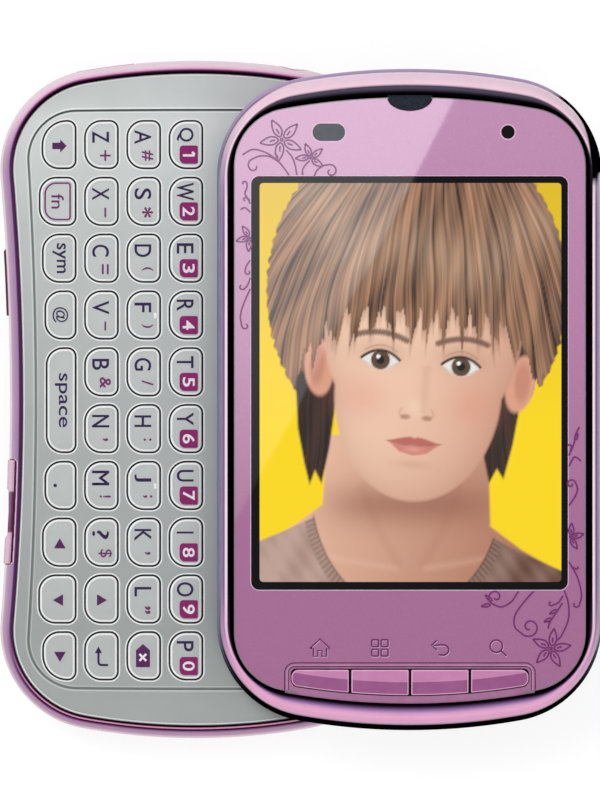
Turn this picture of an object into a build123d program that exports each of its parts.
"""Side-sliding phone: a keyboard half and a display half that slides on a rail plate.

Millimetres. +X is the way the display slides open, +Y points to the earpiece end and +Z
out of the screen. The origin is the centre of the keyboard half's back face, and the
display half stands at its open stop.
"""

import os
from math import atan2, cos, degrees, radians, sin, sqrt

from build123d import *

os.makedirs("parts", exist_ok=True)

# ---------------------------------------------------------------- driving dimensions

# Keyboard half, seen from the front
BASE_WIDTH = 60.5
BASE_LENGTH = 104.5
BASE_END_RADIUS = 100.0
BASE_CORNER_RADIUS = 15.5
BASE_WAIST = 1.5  # how far each side draws in at its middle
BASE_FRONT_ROUND = 3.0
BASE_BACK_ROUND = 3.6
EDGE_FLATS = 2  # flats that make up a rounded edge
BASE_WALL = 3.0
DECK_INSET = 2.05  # from the outline to the edge of the deck

# Keyboard half, from the back face to the front
COVER_THICK = 1.1
COVER_LIP = 0.9
BATTERY_THICK = 3.4
BATTERY_GAP = 0.1
BOARD_THICK = 0.8
MEMBRANE_THICK = 0.4
KEY_TRAVEL = 0.3
KEY_STOP_GAP = 0.05
KEY_FLANGE_THICK = 0.4
DECK_THICK = 1.0
RIM_STEP = 0.5  # the rim's crest above the deck

# Fits
SEAT_CLEARANCE = 0.08  # between fixed pieces that drop into a recess
KEY_CLEARANCE = 0.18  # between a key and its hole
BOARD_CLEARANCE = 0.3

# Keyboard
KEY_WIDTH = 5.2
KEY_COLUMN_PITCH = 6.5
KEY_ROW_GAP = 1.48
KEY_EDGE_INSET = 5.8  # from the outline to the outer edge of the last column
KEY_EDGE_WIDTH = 4.6  # of the last column at the waist
KEYS_END_INSET = 9.39  # from the outline's ends to the first and last rows
KEY_OUTER_ROUND = 2.4
KEY_INNER_ROUND = 1.3
KEY_DECK_CORNER_ROUND = 3.4
KEY_PROUD = 0.4
KEY_CHAMFER = 0.18
KEY_FLANGE = 0.3

# Battery and its cover
BATTERY_SIDE_INSET = 10.25  # from the outline
BATTERY_END_INSET = 11.25
BATTERY_TOP_INSET = 9.0  # from the cover's upper edge
BATTERY_ROUND = 2.2
BAY_CLEARANCE = 0.4
BAY_WALL = 0.9
COVER_INSET = 4.0
COVER_TOP_INSET = 28.25  # from the outline's upper end
COVER_CORNER = 2.5
THUMB_NOTCH_RADIUS = 5.0
THUMB_NOTCH_DEPTH = 0.5

# Board and what is soldered to it
SHIELD_KEYS_GAP = 3.55  # from the keys' membrane
SHIELD_LENGTH = 44.0
SHIELD_THICK = 1.0
SHIELD_EDGE = 0.45  # from the board's edge
JACK_X = 15.0
JACK_GAP = 0.1  # above and below its body
JACK_BORE_RADIUS = 1.8
JACK_NOSE_RADIUS = 2.2
JACK_BODY_WIDTH = 6.0
JACK_LENGTH = 14.0
JACK_NOSE_LENGTH = 3.6
JACK_MOUTH_INSET = 0.35
USB_Y = 18.1
USB_MOUTH_WIDTH = 6.9
USB_MOUTH_HEIGHT = 1.85
USB_SHELL = 0.3
USB_DEPTH = 5.4
USB_MOUTH_INSET = 1.6
SPEAKER_WIDTH = 15.0
SPEAKER_LENGTH = 9.0
SPEAKER_X = -15.0
SPEAKER_END_INSET = 15.25
SLOT_WIDTH = 0.9
SLOT_LENGTH = 6.0
SLOT_PITCH = 2.4
SLOT_COUNT = 4

# Camera in the back
CAMERA_END_INSET = 15.25
CAMERA_BARREL_RADIUS = 3.3
CAMERA_WINDOW_RADIUS = 4.6
CAMERA_WINDOW_THICK = 0.6
CAMERA_SINK = 0.15  # the window's face below the back face

# Side keys
SIDE_KEY_TRAVEL = 0.3
SIDE_KEY_DEPTH = 1.1
SIDE_KEY_PROUD = 0.25
SIDE_KEY_HEIGHT = 2.6
SIDE_KEY_LENGTH = 9.0
SIDE_KEY_Z = 4.6
STEM_LENGTH = 1.6
STEM_HEIGHT = 1.2
CAMERA_KEY_END_INSET = 25.25
POWER_KEY_X = -14.0
ROCKER_Y = -17.3
ROCKER_LENGTH = 16.0
ROCKER_HEIGHT = 4.2
ROCKER_Z = 5.2
ROCKER_DEPTH = 0.95
ROCKER_PROUD = 0.2
ROCKER_BACK_GAP = 0.3
ROCKER_DIP = 0.4
ROCKER_DIP_LENGTH = 6.2
ROCKER_DIP_RAMP = 0.7
ROCKER_PIVOT_RADIUS = 0.25

# Cover over the charging port
PORT_COVER_LENGTH = 10.3
PORT_COVER_HEIGHT = 3.5
PORT_COVER_THICK = 1.0
PORT_COVER_PROUD = 0.3
PORT_COVER_GAP = 0.12

# Slide
SLIDE_TRAVEL = 32.8
SLIDE_GAP = 0.3  # between the keyboard half's rim and the display half
SLIDE_PLATE_THICK = 0.6
SLIDE_PLATE_WIDTH = 60.0  # along Y, between its two running edges
SLIDE_PLATE_INSET = 3.35  # from the display half's sides
CHANNEL_END_WALL = 3.05  # beyond each end of the hooks' channels
RAIL_SHEET = 0.5
RAIL_CLEARANCE = 0.05
RAIL_LIP = 1.4  # how far each hook reaches over the slide plate's edge
RAIL_SIDE = 1.95
RAIL_ROOF = 0.75
RAIL_WINDOW_WIDTH = 10.0
RAIL_WINDOW_LENGTH = 24.0
CHANNEL_GAP = 0.35  # round the hooks, in the display half's channels
STOP_GAP = 0.3

# Display half, seen from the front
DISPLAY_SIDE_STEP = 0.7  # from the keyboard half's outline
DISPLAY_END_STEP = 1.5
DISPLAY_END_RADIUS = 97.0
DISPLAY_CORNER_RADIUS = 15.2
RIM_SIDE_STEP = 0.3  # from the back cover's edge to the rim's
RIM_END_STEP = 0.6
RIM_CREST_SIDE = 1.25
RIM_CREST_END = 2.1
PANEL_SIDE_INSET = 2.65  # from the display half's outline
PANEL_END_INSET = 4.55
PANEL_END_RADIUS = 110.0
PANEL_CORNER_RADIUS = 9.0
PANEL_GAP = 0.35  # between the front panel and the rim

# Display half, from its back face to the front
CHANNEL_ROOF = 0.4
SHOULDER_RISE = 0.3  # the back cover's shoulder above the tray's floor
BACK_ROUND = 1.4
SHOULDER_ROUND = 0.5
SEAM_GAP = 0.15
LCD_THICK = 2.4
LCD_GAP = 0.4
LEDGE_THICK = 0.6
PANEL_THICK = 1.2
RIM_CREST_RISE = 0.5  # the rim's crest above the front panel
RIM_FLANK = 1.0
RIM_WALL = 1.2
TRAY_WALL = 0.7
LEDGE_WIDTH = 0.9

# Display
LCD_SIDE_BORDER = 2.1  # from the front panel's edges
LCD_TOP_BORDER = 10.6
LCD_BOTTOM_BORDER = 15.8
EARPIECE_WIDTH = 6.9
EARPIECE_DEPTH = 2.1

# Keys below the screen
FRONT_KEY_NAMES = ("home_key", "menu_key", "back_key", "search_key")
FRONT_KEY_WIDTH = 8.75
FRONT_KEY_GAP = 0.4
FRONT_KEY_RISE = 4.9  # from the panel's lower edge to the keys' upper edge
FRONT_KEY_INSET = 1.0  # from the panel's lower edge
FRONT_KEY_CLEARANCE = 0.12
FRONT_KEY_PROUD = 0.4
FRONT_KEY_TRAVEL = 0.3
FRONT_KEY_SLOPE_LENGTH = 2.0
FRONT_KEY_SLOPE_DROP = 0.45
FRONT_KEY_CORNER = 1.1
FRONT_KEY_FLANGE = 0.35
FRONT_KEY_FLANGE_THICK = 0.45
BAY_MARGIN = 1.1  # from the front keys to the bay's edge
BAY_CORNER = 1.6
BED_SINK = 0.35  # the key bed below the front panel's face
BED_FOOT = 0.5

# ---------------------------------------------------------------- sizes that follow

DISPLAY_WIDTH = BASE_WIDTH - 2 * DISPLAY_SIDE_STEP
DISPLAY_LENGTH = BASE_LENGTH - 2 * DISPLAY_END_STEP
PANEL_WIDTH = DISPLAY_WIDTH - 2 * PANEL_SIDE_INSET
PANEL_LENGTH = DISPLAY_LENGTH - 2 * PANEL_END_INSET
LCD_WIDTH = PANEL_WIDTH - 2 * LCD_SIDE_BORDER
LCD_LENGTH = PANEL_LENGTH - LCD_TOP_BORDER - LCD_BOTTOM_BORDER
SCREEN_Y = (LCD_BOTTOM_BORDER - LCD_TOP_BORDER) / 2
FRONT_KEY_TOP_Y = FRONT_KEY_RISE - PANEL_LENGTH / 2
COVER_TOP_Y = BASE_LENGTH / 2 - COVER_TOP_INSET
BATTERY_TOP = COVER_TOP_Y - BATTERY_TOP_INSET
BATTERY_WIDTH = BASE_WIDTH - 2 * BATTERY_SIDE_INSET
BATTERY_LENGTH = BATTERY_TOP + BASE_LENGTH / 2 - BATTERY_END_INSET
BATTERY_Y = BATTERY_TOP - BATTERY_LENGTH / 2
CAMERA_Y = BASE_LENGTH / 2 - CAMERA_END_INSET
SPEAKER_Y = BASE_LENGTH / 2 - SPEAKER_END_INSET
CAMERA_KEY_Y = CAMERA_KEY_END_INSET - BASE_LENGTH / 2
SLIDE_PLATE_LENGTH = DISPLAY_WIDTH - 2 * SLIDE_PLATE_INSET
CHANNEL_LENGTH = DISPLAY_WIDTH - 2 * CHANNEL_END_WALL
RAIL_LENGTH = CHANNEL_LENGTH - SLIDE_TRAVEL - 2 * STOP_GAP
RAIL_X = SLIDE_TRAVEL / 2

# ---------------------------------------------------------------- levels that follow

FLOOR_TOP = COVER_THICK + COVER_LIP
BATTERY_BACK = COVER_THICK + BATTERY_GAP
BOARD_BACK = BATTERY_BACK + BATTERY_THICK + BATTERY_GAP
BOARD_TOP = BOARD_BACK + BOARD_THICK
MEMBRANE_TOP = BOARD_TOP + MEMBRANE_THICK
KEY_BOTTOM = MEMBRANE_TOP + KEY_TRAVEL + KEY_STOP_GAP
DECK_BACK = KEY_BOTTOM + KEY_FLANGE_THICK + KEY_STOP_GAP
DECK_TOP = DECK_BACK + DECK_THICK
BASE_THICK = DECK_TOP + RIM_STEP
RAIL_BACK = DECK_TOP - RAIL_SHEET
JACK_Z = (FLOOR_TOP + DECK_BACK) / 2
JACK_BODY_HEIGHT = DECK_BACK - FLOOR_TOP - 2 * JACK_GAP
USB_Z = BOARD_BACK - USB_MOUTH_HEIGHT / 2 - USB_SHELL

DISPLAY_BACK = BASE_THICK + SLIDE_GAP
SLIDE_PLATE_TOP = DISPLAY_BACK + SLIDE_PLATE_THICK
RAIL_TOP = SLIDE_PLATE_TOP + RAIL_CLEARANCE + RAIL_ROOF
RAIL_OUTER = SLIDE_PLATE_WIDTH / 2 + RAIL_SIDE
RAIL_INNER = SLIDE_PLATE_WIDTH / 2 - RAIL_LIP
CHANNEL_TOP = RAIL_TOP + CHANNEL_GAP
TRAY_FLOOR = CHANNEL_TOP + CHANNEL_ROOF
SHOULDER_TOP = TRAY_FLOOR + SHOULDER_RISE
RIM_BACK = SHOULDER_TOP + SEAM_GAP
LCD_TOP = TRAY_FLOOR + LCD_THICK
PANEL_BACK = LCD_TOP + LCD_GAP
LEDGE_BACK = PANEL_BACK - LEDGE_THICK
PANEL_TOP = PANEL_BACK + PANEL_THICK
CREST_TOP = PANEL_TOP + RIM_CREST_RISE
FRONT_KEY_TOP = PANEL_TOP + FRONT_KEY_PROUD
FRONT_FLANGE_TOP = LEDGE_BACK - KEY_STOP_GAP
FRONT_FLANGE_BACK = FRONT_FLANGE_TOP - FRONT_KEY_FLANGE_THICK
PAD_TOP = FRONT_FLANGE_BACK - FRONT_KEY_TRAVEL - KEY_STOP_GAP

BEYOND = 20.0  # how far a cutting shape runs past what it cuts
CUT_PAST_SIDE = 5.0  # the same for bands that run along the outline


# ---------------------------------------------------------------- outlines


def angle_of(vector):
    return degrees(atan2(vector.Y, vector.X))


class Outline:
    """Closed outline: bowed ends, round corners, and sides that are straight or waisted."""

    def __init__(self, width, length, end_radius, corner_radius, waist=0.0):
        self.width = width
        self.length = length
        self.end_radius = end_radius
        self.corner_radius = corner_radius
        self.waist = waist
        self.half_width = width / 2
        self.half_length = length / 2
        self.end_centre = Vector(0, self.half_length - end_radius)
        corner_x = self.half_width - corner_radius
        rise = sqrt((end_radius - corner_radius) ** 2 - corner_x**2)
        self.corner = Vector(corner_x, self.end_centre.Y + rise)

    def inset(self, distance):
        """The same outline moved inwards, parallel to itself."""
        return Outline(
            self.width - 2 * distance,
            self.length - 2 * distance,
            self.end_radius - distance,
            self.corner_radius - distance,
            self.waist,
        )

    def side_radius(self):
        """Radius of the hollow arc between two corners, which it meets smoothly."""
        reach = self.half_width - self.waist - self.corner.X
        corner_r = self.corner_radius
        return (reach**2 + self.corner.Y**2 - corner_r**2) / (2 * self.waist)

    def half_width_at(self, y):
        """Half the width at a height y that lies between the corners."""
        if not self.waist:
            return self.half_width
        radius = self.side_radius()
        return self.half_width - self.waist + radius - sqrt(radius**2 - y**2)

    def end_at(self, x):
        """Height of the bowed end at x."""
        return self.end_centre.Y + sqrt(self.end_radius**2 - x**2)

    def face(self):
        end_angle = angle_of(self.corner - self.end_centre)
        waist_x = self.half_width - self.waist
        side_angle = 0.0
        if self.waist:
            side_centre = Vector(waist_x + self.side_radius(), 0)
            side_angle = angle_of(side_centre - self.corner)
        with BuildSketch(Plane.XY, mode=Mode.PRIVATE) as shape:
            with BuildLine():
                CenterArc(self.end_centre, self.end_radius, end_angle, 90 - end_angle)
                arc = CenterArc(self.corner, self.corner_radius, side_angle, end_angle - side_angle)
                if self.waist:
                    CenterArc(side_centre, self.side_radius(), 180 + side_angle, -side_angle)
                else:
                    Line(arc @ 0, (waist_x, 0))
                mirror(about=Plane.YZ)
                mirror(about=Plane.XZ)
            make_face()
        return shape.sketch


BASE = Outline(BASE_WIDTH, BASE_LENGTH, BASE_END_RADIUS, BASE_CORNER_RADIUS, BASE_WAIST)
DISPLAY = Outline(DISPLAY_WIDTH, DISPLAY_LENGTH, DISPLAY_END_RADIUS, DISPLAY_CORNER_RADIUS)
RIM = Outline(
    DISPLAY_WIDTH - 2 * RIM_SIDE_STEP,
    DISPLAY_LENGTH - 2 * RIM_END_STEP,
    DISPLAY_END_RADIUS,
    DISPLAY_CORNER_RADIUS - RIM_SIDE_STEP,
)
PANEL = Outline(PANEL_WIDTH, PANEL_LENGTH, PANEL_END_RADIUS, PANEL_CORNER_RADIUS)


def quarter_round(radius, flats):
    """Insets and rises along a rounded edge that is made up of flats, from its flank on."""
    angles = [radians(90) * step / flats for step in range(flats + 1)]
    return [(radius * (1 - cos(angle)), radius * sin(angle)) for angle in angles]


def rounded_slab(outline, thick, back_round, front_round):
    """Slab on an outline, with a rounded back edge and a rounded front edge."""
    back_steps = reversed(quarter_round(back_round, EDGE_FLATS))
    front_steps = quarter_round(front_round, EDGE_FLATS)
    levels = [(inset, back_round - rise) for inset, rise in back_steps]
    levels += [(inset, thick - front_round + rise) for inset, rise in front_steps]
    with BuildPart(mode=Mode.PRIVATE) as slab:
        for inset, z in levels:
            with BuildSketch(Plane.XY.offset(z)):
                add(outline.inset(inset).face())
        loft(ruled=True)
    return slab.part


def base_slab(grow=0.0):
    """Outer form of the keyboard half."""
    return rounded_slab(BASE.inset(-grow), BASE_THICK, BASE_BACK_ROUND, BASE_FRONT_ROUND)


def display_plane(z):
    """Plane of the display half, whose centre is one travel to the right."""
    return Plane((SLIDE_TRAVEL, 0, z))


def side_band(outer_inset, inner_inset, low, high):
    """Strip along the keyboard half's left side, between two insets and two heights."""
    with BuildSketch(Plane.XY, mode=Mode.PRIVATE) as band:
        add(BASE.inset(outer_inset).face())
        add(BASE.inset(inner_inset).face(), mode=Mode.SUBTRACT)
        with Locations((-BASE_WIDTH / 2, (low + high) / 2)):
            Rectangle(BASE_WIDTH / 2, high - low, mode=Mode.INTERSECT)
    return band.sketch


def end_band(outer_inset, inner_inset, left, right):
    """Strip along the keyboard half's top end, between two insets and two x values."""
    with BuildSketch(Plane.XY, mode=Mode.PRIVATE) as band:
        add(BASE.inset(outer_inset).face())
        add(BASE.inset(inner_inset).face(), mode=Mode.SUBTRACT)
        with Locations(((left + right) / 2, BASE_LENGTH / 2)):
            Rectangle(right - left, BASE_LENGTH / 2, mode=Mode.INTERSECT)
    return band.sketch


def save(piece, name):
    piece.part.label = name
    export_step(piece.part, f"parts/{name}.step")


# ---------------------------------------------------------------- keyboard layout

LETTER_COLUMNS = (
    ("q", "w", "e", "r", "t", "y", "u", "i", "o", "p"),
    ("a", "s", "d", "f", "g", "h", "j", "k", "l", "backspace"),
    ("z", "x", "c", "v", "b", "n", "m", "question", "up", "enter"),
)
# Last column, with the first and last row that each key covers
EDGE_COLUMN = (
    ("shift", 0, 0),
    ("fn", 1, 1),
    ("symbol", 2, 2),
    ("at", 3, 3),
    ("space", 4, 5),
    ("period", 6, 6),
    ("left", 7, 7),
    ("down", 8, 8),
    ("right", 9, 9),
)
KEY_ROWS = len(LETTER_COLUMNS[0])
KEY_ROW_PITCH = (BASE_LENGTH - 2 * KEYS_END_INSET + KEY_ROW_GAP) / KEY_ROWS
KEY_LENGTH = KEY_ROW_PITCH - KEY_ROW_GAP
KEY_EDGE_RIGHT = KEY_EDGE_INSET + KEY_EDGE_WIDTH + BASE_WAIST - BASE_WIDTH / 2
KEY_FIRST_COLUMN_X = (
    KEY_EDGE_RIGHT + len(LETTER_COLUMNS) * KEY_COLUMN_PITCH - KEY_WIDTH / 2
)
KEYS_RIGHT = KEY_FIRST_COLUMN_X + KEY_WIDTH / 2 + KEY_FLANGE


class Key:
    """Place and size of one key of the keyboard."""

    def __init__(self, name, x, y, width, length):
        self.name = name
        self.x = x
        self.y = y
        self.width = width
        self.length = length


def row_y(row):
    return ((KEY_ROWS - 1) / 2 - row) * KEY_ROW_PITCH


def keyboard_keys():
    keys = []
    for column, names in enumerate(LETTER_COLUMNS):
        x = KEY_FIRST_COLUMN_X - column * KEY_COLUMN_PITCH
        for row, name in enumerate(names):
            keys.append(Key(name, x, row_y(row), KEY_WIDTH, KEY_LENGTH))
    for name, first, last in EDGE_COLUMN:
        y = (row_y(first) + row_y(last)) / 2
        left_edge = KEY_EDGE_INSET - BASE.half_width_at(y)
        width = KEY_EDGE_RIGHT - left_edge
        length = KEY_LENGTH + (last - first) * KEY_ROW_PITCH
        keys.append(Key(name, KEY_EDGE_RIGHT - width / 2, y, width, length))
    return keys


def corner_cut(corner_round, grow):
    """Length of the flat that touches a corner's round, on an outline grown by a margin."""
    return (corner_round + grow) * (2 - sqrt(2))


def key_face(key, grow=0.0):
    """Outline of a key: deep corners on the outer side, shallow ones on the inner side."""
    with BuildSketch(Plane.XY, mode=Mode.PRIVATE) as shape:
        with Locations((key.x, key.y)):
            Rectangle(key.width + 2 * grow, key.length + 2 * grow)
        outer = shape.vertices().group_by(Axis.X)[0].sort_by(Axis.Y)
        inner = shape.vertices().group_by(Axis.X)[-1]
        low_round = KEY_DECK_CORNER_ROUND if key.name == "right" else KEY_OUTER_ROUND
        high_round = KEY_DECK_CORNER_ROUND if key.name == "shift" else KEY_OUTER_ROUND
        chamfer(inner, corner_cut(KEY_INNER_ROUND, grow))
        low_corner = shape.vertices().sort_by_distance(outer[0])[0]
        chamfer(low_corner, corner_cut(low_round, grow))
        high_corner = shape.vertices().sort_by_distance(outer[-1])[0]
        chamfer(high_corner, corner_cut(high_round, grow))
    return shape.sketch


KEYS = keyboard_keys()

# ---------------------------------------------------------------- keyboard half

PORT_LOW = USB_Y - PORT_COVER_LENGTH / 2
PORT_HIGH = USB_Y + PORT_COVER_LENGTH / 2
PORT_HINGE_RADIUS = PORT_COVER_THICK / 2
PORT_HINGE_Y = PORT_HIGH - PORT_HINGE_RADIUS
PORT_FACE_INSET = -PORT_COVER_PROUD
PORT_BACK_INSET = PORT_FACE_INSET + PORT_COVER_THICK
PORT_HINGE_X = (PORT_FACE_INSET + PORT_BACK_INSET) / 2 - BASE.half_width_at(PORT_HINGE_Y)
PORT_BOTTOM = USB_Z - PORT_COVER_HEIGHT / 2
ROCKER_BOTTOM = ROCKER_Z - ROCKER_HEIGHT / 2
ROCKER_LOW = ROCKER_Y - ROCKER_LENGTH / 2
ROCKER_HIGH = ROCKER_Y + ROCKER_LENGTH / 2
SIDE_KEY_BOTTOM = SIDE_KEY_Z - SIDE_KEY_HEIGHT / 2
SIDE_POCKET_DEPTH = SIDE_KEY_DEPTH + SIDE_KEY_TRAVEL + KEY_STOP_GAP
STEM_REACH = BASE_WALL - KEY_STOP_GAP - SIDE_KEY_DEPTH / 2
CAMERA_KEY_LOW = CAMERA_KEY_Y - SIDE_KEY_LENGTH / 2
CAMERA_KEY_HIGH = CAMERA_KEY_Y + SIDE_KEY_LENGTH / 2
POWER_KEY_LEFT = POWER_KEY_X - SIDE_KEY_LENGTH / 2
POWER_KEY_RIGHT = POWER_KEY_X + SIDE_KEY_LENGTH / 2


def cover_face(grow=0.0):
    """Battery cover: the back's flat field below a straight parting line."""
    with BuildSketch(Plane.XY, mode=Mode.PRIVATE) as shape:
        add(BASE.inset(COVER_INSET - grow).face())
        with Locations((0, COVER_TOP_Y + grow)):
            Rectangle(BASE_WIDTH, BASE_LENGTH, align=(Align.CENTER, Align.MAX), mode=Mode.INTERSECT)
        fillet(shape.vertices().group_by(Axis.Y)[-1], COVER_CORNER)
    return shape.sketch


with BuildPart() as lower_housing:
    add(base_slab())
    # Inside: the main hollow, and a wider seat for the deck
    with BuildSketch(Plane.XY.offset(FLOOR_TOP)):
        add(BASE.inset(BASE_WALL).face())
    extrude(amount=DECK_BACK - FLOOR_TOP, mode=Mode.SUBTRACT)
    with BuildSketch(Plane.XY.offset(DECK_BACK)):
        add(BASE.inset(DECK_INSET).face())
    extrude(amount=BEYOND, mode=Mode.SUBTRACT)
    # Battery bay: walls up to the board, open to the back under the cover
    with BuildSketch(Plane.XY.offset(FLOOR_TOP)):
        with Locations((0, BATTERY_Y)):
            RectangleRounded(
                BATTERY_WIDTH + 2 * (BAY_CLEARANCE + BAY_WALL),
                BATTERY_LENGTH + 2 * (BAY_CLEARANCE + BAY_WALL),
                BATTERY_ROUND + BAY_CLEARANCE + BAY_WALL,
            )
    extrude(amount=BOARD_BACK - FLOOR_TOP)
    with BuildSketch():
        with Locations((0, BATTERY_Y)):
            RectangleRounded(
                BATTERY_WIDTH + 2 * BAY_CLEARANCE,
                BATTERY_LENGTH + 2 * BAY_CLEARANCE,
                BATTERY_ROUND + BAY_CLEARANCE,
            )
    extrude(amount=BEYOND, mode=Mode.SUBTRACT)
    with BuildSketch():
        add(cover_face(SEAT_CLEARANCE))
    extrude(amount=COVER_THICK, mode=Mode.SUBTRACT)
    with BuildSketch():
        with Locations((0, COVER_TOP_Y)):
            Circle(THUMB_NOTCH_RADIUS)
    extrude(amount=THUMB_NOTCH_DEPTH, mode=Mode.SUBTRACT)
    # Camera window and loudspeaker slots
    with BuildSketch():
        with Locations((0, CAMERA_Y)):
            Circle(CAMERA_WINDOW_RADIUS + SEAT_CLEARANCE)
    extrude(amount=CAMERA_SINK + CAMERA_WINDOW_THICK, mode=Mode.SUBTRACT)
    with BuildSketch():
        with Locations((0, CAMERA_Y)):
            Circle(CAMERA_BARREL_RADIUS + SEAT_CLEARANCE)
        with Locations((SPEAKER_X, SPEAKER_Y)):
            with GridLocations(0, SLOT_PITCH, 1, SLOT_COUNT):
                SlotOverall(SLOT_LENGTH, SLOT_WIDTH)
    extrude(amount=FLOOR_TOP, mode=Mode.SUBTRACT)
    # Headset socket
    with BuildSketch(Plane.XZ.offset(-BASE_LENGTH / 2 - BEYOND)):
        with Locations((JACK_X, JACK_Z)):
            Circle(JACK_NOSE_RADIUS + SEAT_CLEARANCE)
    extrude(amount=BEYOND + 2 * BASE_WALL + JACK_NOSE_LENGTH, mode=Mode.SUBTRACT)
    # Charging port: a recess for its cover, then a way in to the socket
    with BuildSketch(Plane.XY.offset(PORT_BOTTOM - PORT_COVER_GAP)):
        add(
            side_band(
                -CUT_PAST_SIDE,
                PORT_BACK_INSET + PORT_COVER_GAP,
                PORT_LOW - PORT_COVER_GAP,
                PORT_HIGH + PORT_COVER_GAP,
            )
        )
    extrude(amount=PORT_COVER_HEIGHT + 2 * PORT_COVER_GAP, mode=Mode.SUBTRACT)
    with BuildSketch(Plane.YZ.offset(-BASE_WIDTH / 2)):
        with Locations((USB_Y, USB_Z)):
            Rectangle(
                USB_MOUTH_WIDTH + 2 * (USB_SHELL + SEAT_CLEARANCE),
                USB_MOUTH_HEIGHT + 2 * (USB_SHELL + SEAT_CLEARANCE),
            )
    extrude(amount=2 * BASE_WALL, mode=Mode.SUBTRACT)
    # Volume rocker: a recess that is open to the front, and a rib that it rocks on
    with BuildSketch(Plane.XY.offset(ROCKER_BOTTOM - KEY_CLEARANCE)):
        add(
            side_band(
                -CUT_PAST_SIDE,
                ROCKER_DEPTH + ROCKER_BACK_GAP,
                ROCKER_LOW - KEY_CLEARANCE,
                ROCKER_HIGH + KEY_CLEARANCE,
            )
        )
    extrude(amount=BEYOND, mode=Mode.SUBTRACT)
    # Camera key in the right side and power key in the top end
    with BuildSketch(Plane.XY.offset(SIDE_KEY_BOTTOM - KEY_CLEARANCE)):
        add(
            mirror(
                side_band(
                    -CUT_PAST_SIDE,
                    SIDE_POCKET_DEPTH,
                    CAMERA_KEY_LOW - KEY_CLEARANCE,
                    CAMERA_KEY_HIGH + KEY_CLEARANCE,
                ),
                about=Plane.YZ,
                mode=Mode.PRIVATE,
            )
        )
        add(
            end_band(
                -CUT_PAST_SIDE,
                SIDE_POCKET_DEPTH,
                POWER_KEY_LEFT - KEY_CLEARANCE,
                POWER_KEY_RIGHT + KEY_CLEARANCE,
            )
        )
    extrude(amount=SIDE_KEY_HEIGHT + 2 * KEY_CLEARANCE, mode=Mode.SUBTRACT)
    with BuildSketch(Plane.XY.offset(SIDE_KEY_Z - STEM_HEIGHT / 2 - KEY_CLEARANCE)):
        with Locations((BASE_WIDTH / 2 - BASE_WALL, CAMERA_KEY_Y)):
            Rectangle(2 * BASE_WALL, STEM_LENGTH + 2 * KEY_CLEARANCE)
        with Locations((POWER_KEY_X, BASE.end_at(POWER_KEY_X) - BASE_WALL)):
            Rectangle(STEM_LENGTH + 2 * KEY_CLEARANCE, 2 * BASE_WALL)
    extrude(amount=STEM_HEIGHT + 2 * KEY_CLEARANCE, mode=Mode.SUBTRACT)
save(lower_housing, "lower_housing")

with BuildPart() as battery_cover:
    with BuildSketch():
        add(cover_face())
    extrude(amount=COVER_THICK)
    with BuildSketch():
        with Locations((0, COVER_TOP_Y)):
            Circle(THUMB_NOTCH_RADIUS)
    extrude(amount=THUMB_NOTCH_DEPTH, mode=Mode.SUBTRACT)
save(battery_cover, "battery_cover")

with BuildPart() as battery_pack:
    with BuildSketch(Plane.XY.offset(BATTERY_BACK)):
        with Locations((0, BATTERY_Y)):
            RectangleRounded(BATTERY_WIDTH, BATTERY_LENGTH, BATTERY_ROUND)
    extrude(amount=BATTERY_THICK)
save(battery_pack, "battery_pack")

JACK_MOUTH_Y = BASE.end_at(JACK_X) - JACK_MOUTH_INSET
JACK_BODY_LENGTH = JACK_LENGTH - JACK_NOSE_LENGTH
USB_MOUTH_X = USB_MOUTH_INSET - BASE.half_width_at(USB_Y)
SHIELD_LEFT = KEYS_RIGHT + SHIELD_KEYS_GAP
SHIELD_RIGHT = BASE_WIDTH / 2 - BASE_WAIST - BASE_WALL - BOARD_CLEARANCE - SHIELD_EDGE
SHIELD_X = (SHIELD_LEFT + SHIELD_RIGHT) / 2

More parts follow.
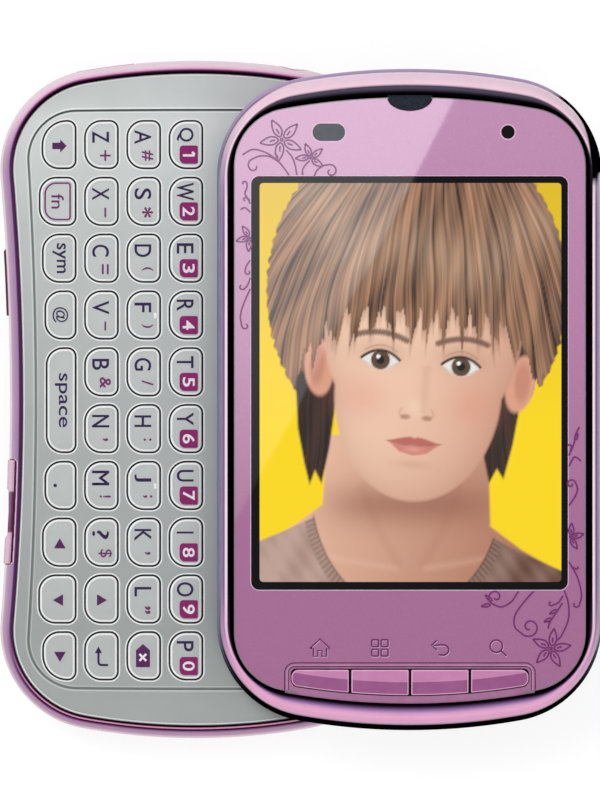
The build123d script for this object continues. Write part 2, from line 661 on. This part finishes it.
with BuildPart() as main_board:
    with BuildSketch(Plane.XY.offset(BOARD_BACK)):
        add(BASE.inset(BASE_WALL + BOARD_CLEARANCE).face())
        with Locations((JACK_X, JACK_MOUTH_Y)):
            Rectangle(JACK_BODY_WIDTH, 2 * JACK_LENGTH, mode=Mode.SUBTRACT)
    extrude(amount=BOARD_THICK)
    with BuildSketch(Plane.XY.offset(BOARD_TOP)):
        with Locations((SHIELD_X, 0)):
            Rectangle(SHIELD_RIGHT - SHIELD_LEFT, SHIELD_LENGTH)
    extrude(amount=SHIELD_THICK)
    # Loudspeaker, behind its slots
    with BuildSketch(Plane.XY.offset(FLOOR_TOP)):
        with Locations((SPEAKER_X, SPEAKER_Y)):
            Rectangle(SPEAKER_WIDTH, SPEAKER_LENGTH)
    extrude(amount=BOARD_BACK - FLOOR_TOP)
    # Headset socket: body and round nose with one bore
    with BuildSketch(Plane.XZ.offset(-JACK_MOUTH_Y)):
        with Locations((JACK_X, JACK_Z)):
            Circle(JACK_NOSE_RADIUS)
    extrude(amount=JACK_LENGTH)
    with BuildSketch(Plane.XZ.offset(JACK_NOSE_LENGTH - JACK_MOUTH_Y)):
        with Locations((JACK_X, JACK_Z)):
            Rectangle(JACK_BODY_WIDTH, JACK_BODY_HEIGHT)
    extrude(amount=JACK_BODY_LENGTH)
    with BuildSketch(Plane.XZ.offset(-JACK_MOUTH_Y)):
        with Locations((JACK_X, JACK_Z)):
            Circle(JACK_BORE_RADIUS)
    extrude(amount=JACK_LENGTH, mode=Mode.SUBTRACT)
    # Charging socket: a flat shell, open towards the side
    with BuildSketch(Plane.YZ.offset(USB_MOUTH_X)):
        with Locations((USB_Y, USB_Z)):
            Rectangle(USB_MOUTH_WIDTH + 2 * USB_SHELL, USB_MOUTH_HEIGHT + 2 * USB_SHELL)
    extrude(amount=USB_DEPTH + USB_SHELL)
    with BuildSketch(Plane.YZ.offset(USB_MOUTH_X)):
        with Locations((USB_Y, USB_Z)):
            Rectangle(USB_MOUTH_WIDTH, USB_MOUTH_HEIGHT)
    extrude(amount=USB_DEPTH, mode=Mode.SUBTRACT)
save(main_board, "main_board")

with BuildPart() as rear_camera:
    with BuildSketch(Plane.XY.offset(CAMERA_SINK)):
        with Locations((0, CAMERA_Y)):
            Circle(CAMERA_WINDOW_RADIUS)
    extrude(amount=CAMERA_WINDOW_THICK)
    with BuildSketch(Plane.XY.offset(CAMERA_SINK)):
        with Locations((0, CAMERA_Y)):
            Circle(CAMERA_BARREL_RADIUS)
    extrude(amount=BOARD_BACK - CAMERA_SINK)
save(rear_camera, "rear_camera")

with BuildPart() as key_membrane:
    with BuildSketch(Plane.XY.offset(BOARD_TOP)):
        add(BASE.inset(BASE_WALL + BOARD_CLEARANCE).face())
        with Locations((KEYS_RIGHT, 0)):
            Rectangle(
                BASE_WIDTH,
                KEY_ROWS * KEY_ROW_PITCH,
                align=(Align.MAX, Align.CENTER),
                mode=Mode.INTERSECT,
            )
    extrude(amount=MEMBRANE_THICK)
save(key_membrane, "key_membrane")

with BuildPart() as keyboard_deck:
    with BuildSketch(Plane.XY.offset(DECK_BACK)):
        add(BASE.inset(DECK_INSET + SEAT_CLEARANCE).face())
    extrude(amount=DECK_THICK)
    # Seat for the rail plate, with a window for the cable
    with BuildSketch(Plane.XY.offset(RAIL_BACK)):
        with Locations((RAIL_X, 0)):
            Rectangle(RAIL_LENGTH + 2 * SEAT_CLEARANCE, 2 * (RAIL_OUTER + SEAT_CLEARANCE))
    extrude(amount=BEYOND, mode=Mode.SUBTRACT)
    with BuildSketch(Plane.XY.offset(DECK_BACK)):
        with Locations((RAIL_X, 0)):
            Rectangle(RAIL_WINDOW_WIDTH, RAIL_WINDOW_LENGTH)
        for key in KEYS:
            add(key_face(key, KEY_CLEARANCE))
    extrude(amount=BEYOND, mode=Mode.SUBTRACT)
save(keyboard_deck, "keyboard_deck")

with BuildPart() as rail_plate:
    slot_back = DISPLAY_BACK - RAIL_CLEARANCE
    slot_edge = SLIDE_PLATE_WIDTH / 2 + RAIL_CLEARANCE
    corner_low = (Align.MIN, Align.MIN)
    with BuildSketch(Plane.YZ.offset(RAIL_X - RAIL_LENGTH / 2)):
        with Locations((0, RAIL_BACK)):
            Rectangle(RAIL_OUTER, RAIL_SHEET, align=corner_low)
        with Locations((RAIL_INNER, RAIL_BACK)):
            Rectangle(RAIL_OUTER - RAIL_INNER, RAIL_TOP - RAIL_BACK, align=corner_low)
        with Locations((RAIL_INNER, slot_back)):
            Rectangle(
                slot_edge - RAIL_INNER,
                SLIDE_PLATE_THICK + 2 * RAIL_CLEARANCE,
                align=corner_low,
                mode=Mode.SUBTRACT,
            )
        mirror(about=Plane.YZ)
    extrude(amount=RAIL_LENGTH)
    with BuildSketch(Plane.XY.offset(RAIL_BACK)):
        with Locations((RAIL_X, 0)):
            Rectangle(RAIL_WINDOW_WIDTH, RAIL_WINDOW_LENGTH)
    extrude(amount=RAIL_SHEET, mode=Mode.SUBTRACT)
save(rail_plate, "rail_plate")

for key in KEYS:
    with BuildPart() as keycap:
        with BuildSketch(Plane.XY.offset(KEY_BOTTOM)):
            add(key_face(key, KEY_FLANGE))
        extrude(amount=KEY_FLANGE_THICK)
        with BuildSketch(Plane.XY.offset(KEY_BOTTOM)):
            add(key_face(key))
        extrude(amount=DECK_TOP + KEY_PROUD - KEY_BOTTOM)
        chamfer(keycap.faces().sort_by(Axis.Z)[-1].edges(), KEY_CHAMFER)
    save(keycap, f"key_{key.name}")

# ---------------------------------------------------------------- side keys

with BuildPart() as volume_rocker:
    add(base_slab(ROCKER_PROUD))
    with BuildSketch(Plane.XY.offset(ROCKER_BOTTOM)):
        add(side_band(-ROCKER_PROUD, ROCKER_DEPTH, ROCKER_LOW, ROCKER_HIGH))
        # Middle of the outer face, sunk between two ramps
        face_x = -ROCKER_PROUD - BASE.half_width_at(ROCKER_Y)
        dip_half = ROCKER_DIP_LENGTH / 2
        with BuildLine():
            Polyline(
                (face_x - ROCKER_DIP, ROCKER_Y - dip_half - 2 * ROCKER_DIP_RAMP),
                (face_x - ROCKER_DIP, ROCKER_Y + dip_half + 2 * ROCKER_DIP_RAMP),
                (face_x + ROCKER_DIP, ROCKER_Y + dip_half),
                (face_x + ROCKER_DIP, ROCKER_Y - dip_half),
                close=True,
            )
        make_face(mode=Mode.SUBTRACT)
    extrude(amount=ROCKER_HEIGHT, mode=Mode.INTERSECT)
    with BuildSketch(Plane.XY.offset(ROCKER_BOTTOM)):
        with Locations((ROCKER_DEPTH - BASE.half_width_at(ROCKER_Y), ROCKER_Y)):
            Circle(ROCKER_PIVOT_RADIUS)
    extrude(amount=ROCKER_HEIGHT)
save(volume_rocker, "volume_rocker")

with BuildPart() as camera_key:
    add(base_slab(SIDE_KEY_PROUD))
    with BuildSketch(Plane.XY.offset(SIDE_KEY_BOTTOM)):
        add(
            mirror(
                side_band(-SIDE_KEY_PROUD, SIDE_KEY_DEPTH, CAMERA_KEY_LOW, CAMERA_KEY_HIGH),
                about=Plane.YZ,
                mode=Mode.PRIVATE,
            )
        )
    extrude(amount=SIDE_KEY_HEIGHT, mode=Mode.INTERSECT)
    with BuildSketch(Plane.XY.offset(SIDE_KEY_Z - STEM_HEIGHT / 2)):
        with Locations((BASE.half_width_at(CAMERA_KEY_Y) - SIDE_KEY_DEPTH / 2, CAMERA_KEY_Y)):
            Rectangle(STEM_REACH, STEM_LENGTH, align=(Align.MAX, Align.CENTER))
    extrude(amount=STEM_HEIGHT)
save(camera_key, "camera_key")

with BuildPart() as power_key:
    add(base_slab(SIDE_KEY_PROUD))
    with BuildSketch(Plane.XY.offset(SIDE_KEY_BOTTOM)):
        add(end_band(-SIDE_KEY_PROUD, SIDE_KEY_DEPTH, POWER_KEY_LEFT, POWER_KEY_RIGHT))
    extrude(amount=SIDE_KEY_HEIGHT, mode=Mode.INTERSECT)
    with BuildSketch(Plane.XY.offset(SIDE_KEY_Z - STEM_HEIGHT / 2)):
        with Locations((POWER_KEY_X, BASE.end_at(POWER_KEY_X) - SIDE_KEY_DEPTH / 2)):
            Rectangle(STEM_LENGTH, STEM_REACH, align=(Align.CENTER, Align.MAX))
    extrude(amount=STEM_HEIGHT)
save(power_key, "power_key")

with BuildPart() as port_cover:
    with BuildSketch(Plane.XY.offset(PORT_BOTTOM)):
        add(side_band(PORT_FACE_INSET, PORT_BACK_INSET, PORT_LOW, PORT_HINGE_Y))
        with Locations((PORT_HINGE_X, PORT_HINGE_Y)):
            Circle(PORT_HINGE_RADIUS)
    extrude(amount=PORT_COVER_HEIGHT)
save(port_cover, "port_cover")

# ---------------------------------------------------------------- display half

CHANNEL_INNER = RAIL_INNER - CHANNEL_GAP
CHANNEL_OUTER = RAIL_OUTER + CHANNEL_GAP
FRONT_ROW_WIDTH = len(FRONT_KEY_NAMES) * (FRONT_KEY_WIDTH + FRONT_KEY_GAP) - FRONT_KEY_GAP


def rim_outline(share):
    """Outline of the rim on its way from the flank, at 0, to the crest, at 1."""
    return Outline(
        RIM.width - 2 * RIM_CREST_SIDE * share,
        RIM.length - 2 * RIM_CREST_END * share,
        RIM.end_radius,
        RIM.corner_radius - RIM_CREST_END * share,
    )


def bay_face(grow=0.0):
    """Bay for the front keys: a notch in the panel's lower edge with round upper corners."""
    with BuildSketch(Plane.XY, mode=Mode.PRIVATE) as shape:
        with Locations((0, FRONT_KEY_TOP_Y + BAY_MARGIN + grow)):
            Rectangle(
                FRONT_ROW_WIDTH + 2 * (BAY_MARGIN + grow),
                PANEL_LENGTH,
                align=(Align.CENTER, Align.MAX),
            )
        fillet(shape.vertices().group_by(Axis.Y)[-1], BAY_CORNER + grow)
    return shape.sketch


def front_key_x(index):
    middle = (len(FRONT_KEY_NAMES) - 1) / 2
    return (index - middle) * (FRONT_KEY_WIDTH + FRONT_KEY_GAP)


def front_key_face(index, grow=0.0):
    """One front key: straight above, and below it follows the panel's lower edge."""
    with BuildSketch(Plane.XY, mode=Mode.PRIVATE) as shape:
        add(PANEL.inset(FRONT_KEY_INSET - grow).face())
        with Locations((front_key_x(index), FRONT_KEY_TOP_Y + grow)):
            Rectangle(
                FRONT_KEY_WIDTH + 2 * grow,
                PANEL_LENGTH,
                align=(Align.CENTER, Align.MAX),
                mode=Mode.INTERSECT,
            )
        if index == 0:
            fillet(shape.vertices().group_by(Axis.X)[0], FRONT_KEY_CORNER + grow)
        if index == len(FRONT_KEY_NAMES) - 1:
            fillet(shape.vertices().group_by(Axis.X)[-1], FRONT_KEY_CORNER + grow)
    return shape.sketch


with BuildPart() as slide_plate:
    with BuildSketch(display_plane(DISPLAY_BACK)):
        Rectangle(SLIDE_PLATE_LENGTH, SLIDE_PLATE_WIDTH)
    extrude(amount=SLIDE_PLATE_THICK)
save(slide_plate, "slide_plate")

with BuildPart() as display_back:
    with Locations((SLIDE_TRAVEL, 0, DISPLAY_BACK)):
        add(rounded_slab(DISPLAY, SHOULDER_TOP - DISPLAY_BACK, BACK_ROUND, SHOULDER_ROUND))
    # Upstand inside the rim, and the tray that holds the display
    with BuildSketch(display_plane(TRAY_FLOOR)):
        add(RIM.inset(RIM_WALL + SEAT_CLEARANCE).face())
    extrude(amount=LEDGE_BACK - SEAT_CLEARANCE - TRAY_FLOOR)
    with BuildSketch(display_plane(TRAY_FLOOR)):
        add(RIM.inset(RIM_WALL + SEAT_CLEARANCE + TRAY_WALL).face())
    extrude(amount=BEYOND, mode=Mode.SUBTRACT)
    # Pad under the front keys
    with BuildSketch(display_plane(TRAY_FLOOR)):
        add(PANEL.inset(FRONT_KEY_INSET).face())
        with Locations((0, FRONT_KEY_TOP_Y)):
            Rectangle(
                FRONT_ROW_WIDTH,
                PANEL_LENGTH,
                align=(Align.CENTER, Align.MAX),
                mode=Mode.INTERSECT,
            )
    extrude(amount=PAD_TOP - TRAY_FLOOR)
    # Seat for the slide plate, and a channel for each of the two hooks
    with BuildSketch(display_plane(DISPLAY_BACK)):
        Rectangle(SLIDE_PLATE_LENGTH + 2 * SEAT_CLEARANCE, SLIDE_PLATE_WIDTH)
    extrude(amount=SLIDE_PLATE_THICK, mode=Mode.SUBTRACT)
    with BuildSketch(display_plane(DISPLAY_BACK)):
        with GridLocations(0, CHANNEL_INNER + CHANNEL_OUTER, 1, 2):
            Rectangle(CHANNEL_LENGTH, CHANNEL_OUTER - CHANNEL_INNER)
    extrude(amount=CHANNEL_TOP - DISPLAY_BACK, mode=Mode.SUBTRACT)
save(display_back, "display_back")

with BuildPart() as display_rim:
    with BuildSketch(display_plane(RIM_BACK)):
        add(RIM.face())
    # Crown: up from the flank to the crest, then down to the front panel
    crown_height = CREST_TOP - RIM_BACK - RIM_FLANK
    for share, rise in quarter_round(1.0, EDGE_FLATS):
        with BuildSketch(display_plane(RIM_BACK + RIM_FLANK + crown_height * rise)):
            add(rim_outline(share).face())
    with BuildSketch(display_plane(PANEL_TOP)):
        add(PANEL.inset(-PANEL_GAP).face())
    loft(ruled=True)
    # Opening for the panel, the ledge that it lies on, and the hollow below
    with BuildSketch(display_plane(PANEL_BACK)):
        add(PANEL.inset(-PANEL_GAP).face())
    extrude(amount=BEYOND, mode=Mode.SUBTRACT)
    with BuildSketch(display_plane(RIM_BACK)):
        add(PANEL.inset(LEDGE_WIDTH).face())
    extrude(amount=BEYOND, mode=Mode.SUBTRACT)
    with BuildSketch(display_plane(RIM_BACK)):
        add(RIM.inset(RIM_WALL).face())
    extrude(amount=LEDGE_BACK - RIM_BACK, mode=Mode.SUBTRACT)
    # Bed for the front keys
    with BuildSketch(display_plane(LEDGE_BACK)):
        add(bay_face(BED_FOOT))
        add(PANEL.inset(LEDGE_WIDTH / 2).face(), mode=Mode.INTERSECT)
    extrude(amount=LEDGE_THICK)
    with BuildSketch(display_plane(LEDGE_BACK)):
        add(bay_face(-SEAT_CLEARANCE))
        add(PANEL.inset(-PANEL_GAP).face(), mode=Mode.INTERSECT)
    extrude(amount=PANEL_TOP - BED_SINK - LEDGE_BACK)
    with BuildSketch(display_plane(LEDGE_BACK)):
        for index in range(len(FRONT_KEY_NAMES)):
            add(front_key_face(index, FRONT_KEY_CLEARANCE))
    extrude(amount=BEYOND, mode=Mode.SUBTRACT)
save(display_rim, "display_rim")

with BuildPart() as lcd_module:
    with BuildSketch(display_plane(TRAY_FLOOR)):
        with Locations((0, SCREEN_Y)):
            Rectangle(LCD_WIDTH, LCD_LENGTH)
    extrude(amount=LCD_THICK)
save(lcd_module, "lcd_module")

with BuildPart() as front_panel:
    with BuildSketch(display_plane(PANEL_BACK)):
        add(PANEL.face())
        add(bay_face(), mode=Mode.SUBTRACT)
        with Locations((0, PANEL_LENGTH / 2)):
            Ellipse(EARPIECE_WIDTH / 2, EARPIECE_DEPTH, mode=Mode.SUBTRACT)
    extrude(amount=PANEL_THICK)
save(front_panel, "front_panel")

SLOPE_FOOT = FRONT_KEY_TOP - FRONT_KEY_SLOPE_DROP

for index, name in enumerate(FRONT_KEY_NAMES):
    with BuildPart() as front_key:
        # Top: a level upper facet, then a slope parallel to the panel's lower edge
        with BuildSketch(display_plane(SLOPE_FOOT)):
            add(PANEL.inset(FRONT_KEY_INSET).face())
        with BuildSketch(display_plane(FRONT_KEY_TOP)):
            add(PANEL.inset(FRONT_KEY_INSET + FRONT_KEY_SLOPE_LENGTH).face())
        loft(ruled=True)
        with BuildSketch(display_plane(SLOPE_FOOT)):
            add(front_key_face(index))
        extrude(amount=FRONT_KEY_SLOPE_DROP, mode=Mode.INTERSECT)
        with BuildSketch(display_plane(FRONT_FLANGE_BACK)):
            add(front_key_face(index))
        extrude(amount=SLOPE_FOOT - FRONT_FLANGE_BACK)
        # Flange that keeps the key under its bed
        with BuildSketch(display_plane(FRONT_FLANGE_BACK)):
            with Locations((front_key_x(index), FRONT_KEY_TOP_Y + FRONT_KEY_FLANGE)):
                Rectangle(
                    FRONT_KEY_WIDTH - 2 * FRONT_KEY_CORNER,
                    FRONT_KEY_SLOPE_LENGTH,
                    align=(Align.CENTER, Align.MAX),
                )
        extrude(amount=FRONT_KEY_FLANGE_THICK)
    save(front_key, name)
